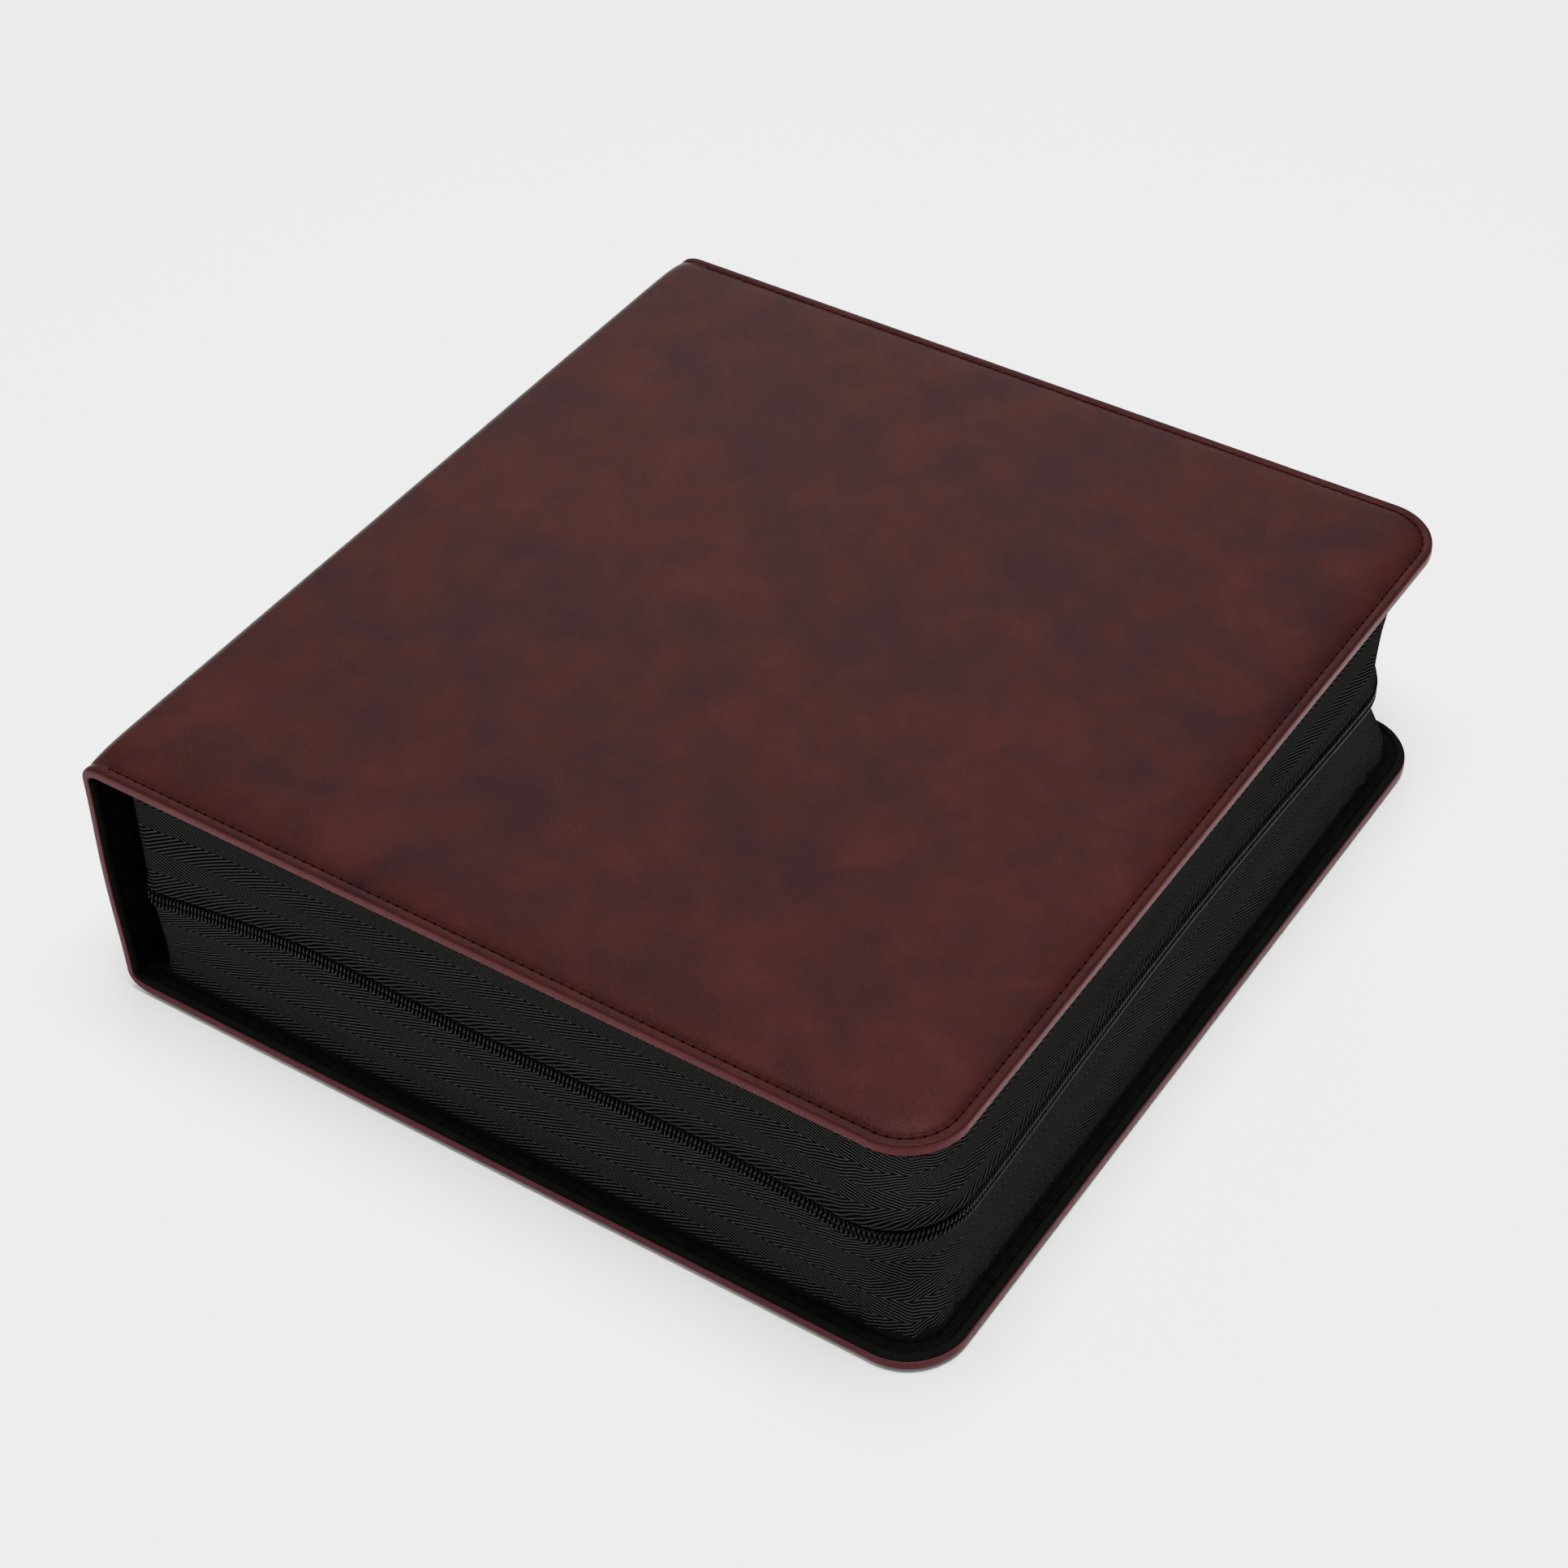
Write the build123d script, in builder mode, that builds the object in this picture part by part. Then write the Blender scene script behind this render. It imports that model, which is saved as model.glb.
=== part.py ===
"""Zippered trading card binder for rigid card holders, lying closed on its back cover.

Millimetres, +Z up. X runs from the spine (-X) to the fore edge (+X), Y runs along the
spine. The origin is on the surface the binder lies on, under the middle of the case.
"""
import os
from math import atan2, degrees

from build123d import *

os.makedirs("parts", exist_ok=True)

# Case
CASE_WIDTH = 339.0          # spine face to fore edge
CASE_LENGTH = 361.0         # along the spine
CASE_HEIGHT = 113.0         # outer face to outer face, padding included
CORNER_RADIUS = 23.0        # cover corners at the fore edge
SPINE_X = -CASE_WIDTH / 2
FORE_X = CASE_WIDTH / 2
HALF_LENGTH = CASE_LENGTH / 2

# Covers, counted from the outer face inwards
LEATHER = 1.0
EDGE_THICKNESS = 4.1        # turned leather edge
BOARD = 1.8
LINING = 0.7
BACK_PAD_RISE = 1.2         # padding pressed nearly flat by the binder's own weight
FRONT_PAD_RISE = 2.7
PAD_MARGIN = 4.0            # flat edge outside the stitch line
PAD_SLOPE = 10.0            # run of the padding's sloped shoulder

# Spine and its two leather hinges
HINGE_RADIUS = 8.0          # leather bend at each spine corner
HINGE_AXIS_INSET = 1.7      # folding axis, in from both outer faces
COVER_GAP = 0.8             # between the bend and the cover leather
SPINE_EDGE = 3.2            # turned edge at the spine's two ends

# Trim on the lining
BINDING_INSET = 0.5
BINDING_WIDTH = 3.2
BINDING_RISE = 1.2          # stands above the lining
SEAM_WIDTH = 2.6
SEAM_RISE = 2.8

# Gusset wall and zip
WALL_INSET = 9.6           # outer face of the wall, in from the cover's edge
WALL = 1.2
WALL_CORNER = 32.0
WALL_SPINE_X = SPINE_X + 11.5      # outer face of the wall's short return
WALL_SPINE_CORNER = 6.0
RETURN_Y = 160.5            # the return stops here
ZIP_Z = 53.8                # middle of the chain
CHAIN_GAP = 1.0             # between the two rows of coil
COIL_HEIGHT = 2.9
COIL_DEPTH = 2.8
EDGE_TO_COIL = 0.4          # wall edge to its row of coil
TAPE = 0.7
TAPE_OVERLAP = 8.0

# Leaves
LEAF_COUNT = 14
LEAF_PITCH = 6.9
LEAF_HINGE_X = SPINE_X + 11.0
FLAP_LENGTH = 48.0
FLAP_HALF_WIDTH = 138.0
LEAF_FORE_X = 150.5
LEAF_HALF_WIDTH = 156.0
LEAF_CORNER = 12.0
CORE = 0.5
POCKET_DEPTH = 0.9
POCKET_FILM = 0.25
POCKET_WELD = 2.5           # width of the welded rim
POCKET_GAP = 2.0
POCKET_COLUMNS = 3
POCKET_ROWS = 3
MOUNT_PANEL = 2.5
MOUNT_HALF_WIDTH = 140.0
TAB_THICKNESS = 0.8
TAB_CLEARANCE = 0.5

# Zip slider and its pull
SLIDER_X = -136.0           # slider's middle when the zip is fully closed
SLIDER_LENGTH = 11.0
SLIDER_HEIGHT = 9.6
SLIDER_PLATE = 1.5
SLIDER_CLEARANCE = 0.3
WEB_HEIGHT = 0.4
BRIDGE_LENGTH = 7.0
BRIDGE_RISE = 2.6
BRIDGE_BAR = 1.1
PULL_LENGTH = 24.0          # from its hinge bar
PULL_WIDTH = 5.8
PULL_THICKNESS = 1.1        # thinner than the space under the bridge
PULL_SLOT_LENGTH = 5.6
PULL_SLOT_WIDTH = 3.0
PULL_TIP_RADIUS = 2.6


def panel(spine_x, fore_x, half_length, fore_radius, spine_radius=0.0):
    """Flat outline with rounded corners at the fore edge and, if asked, at the spine."""
    with BuildSketch() as outline:
        with Locations(((spine_x + fore_x) / 2, 0)):
            Rectangle(fore_x - spine_x, 2 * half_length)
        if spine_radius > 0:
            fillet(outline.vertices().group_by(Axis.X)[0], spine_radius)
        fillet(outline.vertices().group_by(Axis.X)[-1], fore_radius)
    return outline.sketch


def cover_outline(inset, spine_x):
    """Outline of a cover, drawn in by inset on its three free edges."""
    return panel(spine_x, FORE_X - inset, HALF_LENGTH - inset, CORNER_RADIUS - inset)


def wall_ring(outward, thickness):
    """Plan of a strip that follows the gusset wall, open towards the spine.

    Outward is how far the strip's outer side stands out of the wall's outer face.
    """
    inward = outward - thickness
    with BuildSketch() as ring:
        add(panel(WALL_SPINE_X - outward, FORE_X - WALL_INSET + outward,
                  HALF_LENGTH - WALL_INSET + outward,
                  WALL_CORNER + outward, WALL_SPINE_CORNER + outward))
        add(panel(WALL_SPINE_X - inward, FORE_X - WALL_INSET + inward,
                  HALF_LENGTH - WALL_INSET + inward,
                  WALL_CORNER + inward, WALL_SPINE_CORNER + inward), mode=Mode.SUBTRACT)
        with Locations((WALL_SPINE_X, 0)):
            Rectangle(2 * WALL_SPINE_CORNER + 4, 2 * RETURN_Y, mode=Mode.SUBTRACT)
    return ring.sketch


def write(piece, label):
    """Name a finished piece and write it."""
    piece.part.label = label
    export_step(piece.part, "parts/" + label + ".step")


COVER_X = SPINE_X + HINGE_RADIUS + COVER_GAP
WALL_Y = HALF_LENGTH - WALL_INSET
BACK_INNER_Z = BACK_PAD_RISE + EDGE_THICKNESS + LINING
FRONT_INNER_Z = CASE_HEIGHT - FRONT_PAD_RISE - EDGE_THICKNESS - LINING


# ---- Covers -----------------------------------------------------------------------------
# The same five layers for both covers. "inward" is +1 on the back cover, whose outer face
# is at z = 0, and -1 on the front cover, whose outer face is at the top.
COVERS = {
    "back": (0.0, 1, BACK_PAD_RISE),
    "front": (CASE_HEIGHT, -1, FRONT_PAD_RISE),
}
shoulder_taper = {name: degrees(atan2(PAD_SLOPE, cover[2])) for name, cover in COVERS.items()}

for name, (outer_z, inward, pad_rise) in COVERS.items():
    edge_z = outer_z + inward * pad_rise
    inner_z = edge_z + inward * EDGE_THICKNESS
    board_z = inner_z - inward * BOARD
    pad_base = cover_outline(PAD_MARGIN, COVER_X - 2 * PAD_SLOPE)
    foam_base = cover_outline(PAD_MARGIN + PAD_SLOPE, COVER_X)
    inner_outline = cover_outline(LEATHER, COVER_X)

    with BuildPart() as foam:
        with BuildSketch(Plane.XY.offset(board_z)):
            add(inner_outline)
        extrude(amount=-inward * (EDGE_THICKNESS - BOARD - LEATHER))
        with BuildSketch(Plane.XY.offset(edge_z + inward * LEATHER)):
            add(foam_base)
        extrude(amount=-inward * pad_rise)
    write(foam, name + "_foam")

    with BuildPart() as board:
        with BuildSketch(Plane.XY.offset(board_z)):
            add(inner_outline)
        extrude(amount=inward * BOARD)
    write(board, name + "_board")

    with BuildPart() as leather:
        with BuildSketch(Plane.XY.offset(edge_z)):
            add(cover_outline(0, COVER_X))
        extrude(amount=inward * EDGE_THICKNESS)
        with BuildSketch(Plane.XY.offset(edge_z)):
            add(pad_base)
        extrude(amount=-inward * pad_rise, taper=shoulder_taper[name])
        with Locations((COVER_X - 2 * PAD_SLOPE, 0, outer_z)):
            Box(4 * PAD_SLOPE, CASE_LENGTH, 4 * EDGE_THICKNESS, mode=Mode.SUBTRACT)
        add(foam.part, mode=Mode.SUBTRACT)
        add(board.part, mode=Mode.SUBTRACT)
    write(leather, name + "_leather")

    with BuildPart() as lining:
        with BuildSketch(Plane.XY.offset(inner_z)):
            add(cover_outline(BINDING_INSET + BINDING_WIDTH, COVER_X))
        extrude(amount=inward * LINING)
    write(lining, name + "_lining")

    with BuildPart() as edge_binding:
        with BuildSketch(Plane.XY.offset(inner_z)):
            add(cover_outline(BINDING_INSET, COVER_X))
            add(cover_outline(BINDING_INSET + BINDING_WIDTH, COVER_X - 1), mode=Mode.SUBTRACT)
        extrude(amount=inward * (LINING + BINDING_RISE))
        lip = edge_binding.faces().sort_by(Axis.Z)[-1 if inward > 0 else 0]
        fillet(lip.edges(), BINDING_RISE * 0.8)
    write(edge_binding, name + "_edge_binding")

    with BuildPart() as seam_binding:
        with BuildSketch(Plane.XY.offset(inner_z + inward * LINING)):
            add(wall_ring(SEAM_WIDTH, SEAM_WIDTH))
        extrude(amount=inward * SEAM_RISE)
    write(seam_binding, name + "_seam_binding")


# ---- Gusset walls and zip halves --------------------------------------------------------
# Each half stands on its own cover and stops short of the middle of the chain.
HALVES = {
    "lower": (BACK_INNER_Z, 1),
    "upper": (FRONT_INNER_Z, -1),
}
for name, (foot_z, rise) in HALVES.items():
    coil_edge_z = ZIP_Z - rise * CHAIN_GAP / 2
    wall_edge_z = coil_edge_z - rise * (COIL_HEIGHT + EDGE_TO_COIL)

    with BuildPart() as gusset:
        with BuildSketch(Plane.XY.offset(foot_z)):
            add(wall_ring(0, WALL))
        extrude(amount=wall_edge_z - foot_z)
    write(gusset, name + "_gusset")

    with BuildPart() as tape:
        with BuildSketch(Plane.XY.offset(wall_edge_z - rise * TAPE_OVERLAP)):
            add(wall_ring(-WALL, TAPE))
        extrude(amount=coil_edge_z - wall_edge_z + rise * TAPE_OVERLAP)
    write(tape, name + "_zipper_tape")

    with BuildPart() as coil:
        with BuildSketch(Plane.XY.offset(coil_edge_z)):
            add(wall_ring(COIL_DEPTH - WALL, COIL_DEPTH))
        extrude(amount=-rise * COIL_HEIGHT)
    write(coil, name + "_zipper_teeth")


# ---- Spine ------------------------------------------------------------------------------
SPINE_INNER_X = SPINE_X + SPINE_EDGE
SPINE_BOTTOM_Z = HINGE_RADIUS
SPINE_TOP_Z = CASE_HEIGHT - HINGE_RADIUS
SPINE_MIDDLE_Z = CASE_HEIGHT / 2
SPINE_PANEL_HEIGHT = SPINE_TOP_Z - SPINE_BOTTOM_Z

with BuildPart() as spine_leather:
    with BuildSketch(Plane.XZ.offset(-HALF_LENGTH)):
        with BuildLine():
            bottom = CenterArc((SPINE_X + HINGE_RADIUS, SPINE_BOTTOM_Z), HINGE_RADIUS, 180, 90)
            top = CenterArc((SPINE_X + HINGE_RADIUS, SPINE_TOP_Z), HINGE_RADIUS, 90, 90)
            inner_bottom = CenterArc((SPINE_X + HINGE_RADIUS, SPINE_BOTTOM_Z),
                                     HINGE_RADIUS - LEATHER, 180, 90)
            inner_top = CenterArc((SPINE_X + HINGE_RADIUS, SPINE_TOP_Z),
                                  HINGE_RADIUS - LEATHER, 90, 90)
            Line(bottom @ 0, top @ 1)
            Line(inner_bottom @ 0, inner_top @ 1)
            Line(bottom @ 1, inner_bottom @ 1)
            Line(top @ 0, inner_top @ 0)
        make_face()
    extrude(amount=CASE_LENGTH)
    # turned edges at the two ends
    with Locations(((SPINE_X + SPINE_INNER_X) / 2, HALF_LENGTH - LEATHER / 2, SPINE_MIDDLE_Z),
                   ((SPINE_X + SPINE_INNER_X) / 2, LEATHER / 2 - HALF_LENGTH, SPINE_MIDDLE_Z)):
        Box(SPINE_EDGE, LEATHER, SPINE_PANEL_HEIGHT)
write(spine_leather, "spine_leather")

with BuildPart() as spine_board:
    with Locations(((SPINE_X + LEATHER + SPINE_INNER_X) / 2, 0, SPINE_MIDDLE_Z)):
        Box(SPINE_EDGE - LEATHER, CASE_LENGTH - 2 * LEATHER, SPINE_PANEL_HEIGHT - 2)
write(spine_board, "spine_board")

with BuildPart() as spine_lining:
    with Locations((SPINE_INNER_X + LINING / 2, 0, SPINE_MIDDLE_Z)):
        Box(LINING, CASE_LENGTH - 2 * (BINDING_INSET + BINDING_WIDTH), SPINE_PANEL_HEIGHT)
write(spine_lining, "spine_lining")

with BuildPart() as spine_binding:
    strip_y = HALF_LENGTH - BINDING_INSET - BINDING_WIDTH / 2
    strip_x = SPINE_INNER_X + (LINING + BINDING_RISE) / 2
    with Locations((strip_x, strip_y, SPINE_MIDDLE_Z), (strip_x, -strip_y, SPINE_MIDDLE_Z)):
        Box(LINING + BINDING_RISE, BINDING_WIDTH, SPINE_PANEL_HEIGHT)
    fillet(spine_binding.faces().group_by(Axis.X)[-1].edges(), BINDING_RISE * 0.8)
write(spine_binding, "spine_edge_binding")


# ---- Leaves and what holds them to the spine --------------------------------------------
MOUNT_X = SPINE_INNER_X + LINING
MOUNT_FACE_X = MOUNT_X + MOUNT_PANEL
FIRST_LEAF_Z = SPINE_MIDDLE_Z - LEAF_PITCH * (LEAF_COUNT - 1) / 2
leaf_heights = [FIRST_LEAF_Z + LEAF_PITCH * index for index in range(LEAF_COUNT)]

with BuildPart() as mount_panel:
    with Locations(((MOUNT_X + MOUNT_FACE_X) / 2, 0, SPINE_MIDDLE_Z)):
        Box(MOUNT_PANEL, 2 * MOUNT_HALF_WIDTH, SPINE_PANEL_HEIGHT - 2)
write(mount_panel, "leaf_mount_panel")

with BuildPart() as mount_tabs:
    tab_end_x = LEAF_HINGE_X - TAB_CLEARANCE
    with Locations([((MOUNT_FACE_X + tab_end_x) / 2, 0, z) for z in leaf_heights]):
        Box(tab_end_x - MOUNT_FACE_X, 2 * FLAP_HALF_WIDTH, TAB_THICKNESS)
write(mount_tabs, "leaf_mount_tabs")

BODY_X = LEAF_HINGE_X + FLAP_LENGTH
BODY_LENGTH = LEAF_FORE_X - BODY_X
leaf_body = panel(BODY_X, LEAF_FORE_X, LEAF_HALF_WIDTH, LEAF_CORNER)
column_pitch = BODY_LENGTH / POCKET_COLUMNS
row_pitch = 2 * LEAF_HALF_WIDTH / POCKET_ROWS
pocket_width = column_pitch - 2 * POCKET_GAP
pocket_height = row_pitch - 2 * POCKET_GAP
body_middle_x = (BODY_X + LEAF_FORE_X) / 2
flap_middle_x = (LEAF_HINGE_X + BODY_X) / 2
pocket_z = (CORE + POCKET_DEPTH) / 2
slit_depth = POCKET_DEPTH - POCKET_FILM
slit_z = (CORE + slit_depth) / 2

for number, z in enumerate(leaf_heights, start=1):
    label = "leaf_" + format(number, "02d")
    with BuildPart() as core:
        with BuildSketch(Plane.XY.offset(z - CORE / 2)):
            add(leaf_body)
            with Locations((flap_middle_x, 0)):
                Rectangle(FLAP_LENGTH, 2 * FLAP_HALF_WIDTH)
        extrude(amount=CORE)
    write(core, label + "_core")

    with BuildPart() as pockets:
        for side in (-1, 1):
            with Locations((body_middle_x, 0, z + side * pocket_z)):
                with GridLocations(column_pitch, row_pitch, POCKET_COLUMNS, POCKET_ROWS):
                    Box(pocket_width, pocket_height, POCKET_DEPTH)
        corner_edges = pockets.edges().filter_by(Axis.Z)
        outer_corners = corner_edges.group_by(Axis.X)[-1].group_by(Axis.Y)
        fillet(outer_corners[0] + outer_corners[-1], LEAF_CORNER - POCKET_GAP)
        # each pocket is open on its spine side, where its card goes in
        for side in (-1, 1):
            with Locations((body_middle_x - POCKET_WELD, 0, z + side * slit_z)):
                with GridLocations(column_pitch, row_pitch, POCKET_COLUMNS, POCKET_ROWS):
                    Box(pocket_width, pocket_height - 2 * POCKET_WELD, slit_depth,
                        mode=Mode.SUBTRACT)
    write(pockets, label + "_pockets")


# ---- Zip slider and pull ----------------------------------------------------------------
coil_outer_y = WALL_Y + COIL_DEPTH - WALL
tape_inner_y = WALL_Y - WALL - TAPE
outer_plate_y = coil_outer_y + SLIDER_CLEARANCE + SLIDER_PLATE / 2
inner_plate_y = tape_inner_y - SLIDER_CLEARANCE - SLIDER_PLATE / 2
plate_face_y = outer_plate_y + SLIDER_PLATE / 2
bridge_x = SLIDER_X - 1.0
pull_axis_y = plate_face_y + (BRIDGE_RISE - BRIDGE_BAR) / 2
pull_axis_x = bridge_x + BRIDGE_LENGTH / 2 - BRIDGE_BAR - PULL_THICKNESS / 2 - 0.2

with BuildPart() as slider:
    with Locations((SLIDER_X, outer_plate_y, ZIP_Z), (SLIDER_X, inner_plate_y, ZIP_Z)):
        Box(SLIDER_LENGTH, SLIDER_PLATE, SLIDER_HEIGHT)
    fillet(slider.edges().filter_by(Axis.Y), 2.4)
    # web between the two rows of coil
    with Locations((SLIDER_X - SLIDER_LENGTH / 4, (outer_plate_y + inner_plate_y) / 2, ZIP_Z)):
        Box(SLIDER_LENGTH / 3, outer_plate_y - inner_plate_y, WEB_HEIGHT)
    # bridge that holds the pull
    with BuildSketch(Plane.XY.offset(ZIP_Z - BRIDGE_BAR)):
        with Locations((bridge_x, plate_face_y)):
            Rectangle(BRIDGE_LENGTH, 2 * BRIDGE_RISE)
            Rectangle(BRIDGE_LENGTH - 2 * BRIDGE_BAR, 2 * (BRIDGE_RISE - BRIDGE_BAR),
                      mode=Mode.SUBTRACT)
        with Locations((bridge_x, plate_face_y - BRIDGE_RISE)):
            Rectangle(2 * BRIDGE_LENGTH, 2 * BRIDGE_RISE, mode=Mode.SUBTRACT)
    extrude(amount=2 * BRIDGE_BAR)
write(slider, "zipper_slider")

# The pull's end bar lies under the bridge, and its slot lets it swing over to either side.
with BuildPart() as pull:
    with BuildSketch(Plane.XZ.offset(-pull_axis_y - PULL_THICKNESS / 2)) as pull_outline:
        with Locations((pull_axis_x + (PULL_LENGTH - PULL_THICKNESS / 2) / 2, ZIP_Z)):
            Rectangle(PULL_LENGTH + PULL_THICKNESS / 2, PULL_WIDTH)
        fillet(pull_outline.vertices().group_by(Axis.X)[-1], PULL_TIP_RADIUS)
        with Locations((pull_axis_x + (PULL_THICKNESS + PULL_SLOT_LENGTH) / 2, ZIP_Z)):
            Rectangle(PULL_SLOT_LENGTH, PULL_SLOT_WIDTH, mode=Mode.SUBTRACT)
    extrude(amount=PULL_THICKNESS)
write(pull, "zipper_pull")

print("leaf hinge heights", [round(z, 2) for z in leaf_heights], "hinge x", LEAF_HINGE_X)
print("fold axis x", SPINE_X + HINGE_AXIS_INSET, "z", HINGE_AXIS_INSET,
      CASE_HEIGHT - HINGE_AXIS_INSET)
print("pull axis", pull_axis_x, pull_axis_y, ZIP_Z)
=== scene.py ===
"""Zip-round card binder: the visual model, built over the CAD frame.

Lengths are metres. The spine is at -X, the fore edge at +X, the covers lie in XY.
"""
import math

import bmesh
import bpy
import numpy as np
from mathutils import Matrix, Vector, noise


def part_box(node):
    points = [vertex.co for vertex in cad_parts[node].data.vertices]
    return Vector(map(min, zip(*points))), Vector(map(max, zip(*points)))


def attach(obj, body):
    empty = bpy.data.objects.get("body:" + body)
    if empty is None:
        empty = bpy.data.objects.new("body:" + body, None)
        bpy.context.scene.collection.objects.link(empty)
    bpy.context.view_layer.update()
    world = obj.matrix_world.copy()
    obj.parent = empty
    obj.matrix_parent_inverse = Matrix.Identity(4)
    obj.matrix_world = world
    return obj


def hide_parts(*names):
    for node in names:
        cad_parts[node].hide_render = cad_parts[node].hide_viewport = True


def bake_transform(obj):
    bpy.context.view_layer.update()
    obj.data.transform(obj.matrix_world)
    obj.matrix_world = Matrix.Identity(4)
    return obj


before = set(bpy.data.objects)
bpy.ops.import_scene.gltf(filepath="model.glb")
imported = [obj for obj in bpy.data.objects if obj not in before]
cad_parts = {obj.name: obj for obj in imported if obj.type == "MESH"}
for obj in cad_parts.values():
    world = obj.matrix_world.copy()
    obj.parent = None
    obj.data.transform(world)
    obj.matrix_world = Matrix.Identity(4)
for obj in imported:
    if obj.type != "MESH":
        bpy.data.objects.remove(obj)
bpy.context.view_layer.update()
MM = 0.001
SIDES = ("back", "front")
HALF_OF = {"back": "lower", "front": "upper"}
BODY_OF = {"back": "root", "front": "front_cover"}
UP = {"back": -1.0, "front": 1.0}  # which way the cover's outer face looks

# ------------------------------------------------------------------ sizes from the frame
FORE_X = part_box("front_leather")[1].x
COVER_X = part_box("front_leather")[0].x
HALF_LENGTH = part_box("front_leather")[1].y
SPINE_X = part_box("spine_leather")[0].x
HINGE_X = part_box("spine_leather")[1].x
HINGE_RADIUS = HINGE_X - SPINE_X
CORNER_RADIUS = 23 * MM
EDGE = 4.1 * MM  # the cover's thickness at its turned edge
SPINE_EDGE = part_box("spine_edge_binding")[0].x - SPINE_X
INNER_Z = {side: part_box(f"{side}_leather")[0 if side == "front" else 1].z for side in SIDES}
EDGE_Z = {side: INNER_Z[side] + UP[side] * EDGE for side in SIDES}
LINING_Z = {side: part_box(f"{side}_lining")[0 if side == "front" else 1].z for side in SIDES}
PAD_RISE = {
    "front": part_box("front_leather")[1].z - EDGE_Z["front"],
    "back": EDGE_Z["back"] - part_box("back_leather")[0].z,
}
WALL_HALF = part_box("lower_gusset")[1].y
WALL_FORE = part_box("lower_gusset")[1].x
WALL_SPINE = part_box("lower_gusset")[0].x - 3.5 * MM  # the soft corner leans on the spine
WALL_CORNER = 32 * MM
WALL_SPINE_CORNER = 6 * MM
WALL_RETURN = 160.5 * MM
WALL_THICKNESS = 1.2 * MM
WALL_EDGE_Z = {"back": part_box("lower_gusset")[1].z, "front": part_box("upper_gusset")[0].z}
ZIP_Z = (WALL_EDGE_Z["back"] + WALL_EDGE_Z["front"]) / 2
STITCH_PITCH = 3.9 * MM
STITCH_INSET = 3.8 * MM  # in from the cover's outline


# ------------------------------------------------------------------ mesh helpers
def trace(segments, step):
    """Points, outward normals and arc lengths along lines and arcs, a whole number of steps each."""
    points, normals, lengths, start = [], [], [], 0.0

    def shares(length, fewest):
        count = max(fewest, round(length / step))
        return np.arange(count) / count

    for kind, *shape in segments:
        if kind == "line":
            a, b = np.array(shape[0]), np.array(shape[1])
            length = float(np.hypot(*(b - a)))
            t = shares(length, 1)
            along = (b - a) / length
            points.append(a + (b - a) * t[:, None])
            normals.append(np.tile([along[1], -along[0]], (len(t), 1)))
        else:
            centre, radius, first, last = shape
            length = radius * abs(last - first)
            t = shares(length, 2)
            angle = first + (last - first) * t
            ray = np.stack([np.cos(angle), np.sin(angle)], -1)
            points.append(np.array(centre) + radius * ray)
            normals.append(ray)
        lengths.append(start + length * t)
        start += length
    end = segments[-1]
    if end[0] == "line":
        points.append(np.array([end[2]]))
        normals.append(normals[-1][-1:])
    else:
        ray = np.array([[math.cos(end[4]), math.sin(end[4])]])
        points.append(np.array(end[1]) + end[2] * ray)
        normals.append(ray)
    lengths.append(np.array([start]))
    return np.concatenate(points), np.concatenate(normals), np.concatenate(lengths)


def three_sides(x_start, x_fore, half, radius):
    """The near, fore and far sides of an outline with two rounded fore corners."""
    x_c, y_c = x_fore - radius, half - radius
    return [
        ("line", (x_start, -half), (x_c, -half)),
        ("arc", (x_c, -y_c), radius, -math.pi / 2, 0.0),
        ("line", (x_fore, -y_c), (x_fore, y_c)),
        ("arc", (x_c, y_c), radius, 0.0, math.pi / 2),
        ("line", (x_c, half), (x_start, half)),
    ]


def wall_sides():
    """The wall's outline: three sides, and at the spine a rounded turn and a short return."""
    x_c, y_c = WALL_SPINE + WALL_SPINE_CORNER, WALL_HALF - WALL_SPINE_CORNER
    return [
        ("line", (WALL_SPINE, -WALL_RETURN), (WALL_SPINE, -y_c)),
        ("arc", (x_c, -y_c), WALL_SPINE_CORNER, math.pi, 1.5 * math.pi),
        *three_sides(x_c, WALL_FORE, WALL_HALF, WALL_CORNER),
        ("arc", (x_c, y_c), WALL_SPINE_CORNER, math.pi / 2, math.pi),
        ("line", (WALL_SPINE, y_c), (WALL_SPINE, WALL_RETURN)),
    ]


def cover_outline(step):
    return trace(three_sides(COVER_X, FORE_X, HALF_LENGTH, CORNER_RADIUS), step)


def finish_mesh(name, mesh, material, sharp=40):
    """An object in the scene for a finished mesh, with creases sharper than an angle in degrees."""
    mesh.set_sharp_from_angle(angle=math.radians(sharp))
    obj = bpy.data.objects.new(name, mesh)
    bpy.context.scene.collection.objects.link(obj)
    obj.data.materials.append(material)
    return obj


def arc_lengths(line):
    """How far along a line each of its points is."""
    return np.concatenate([[0.0], np.cumsum(np.hypot(*np.diff(line, axis=0).T))])


def smooth_outward(work):
    """Turn a bmesh's faces outward and shade them smooth."""
    bmesh.ops.recalc_face_normals(work, faces=work.faces)
    for face in work.faces:
        face.smooth = True


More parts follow.
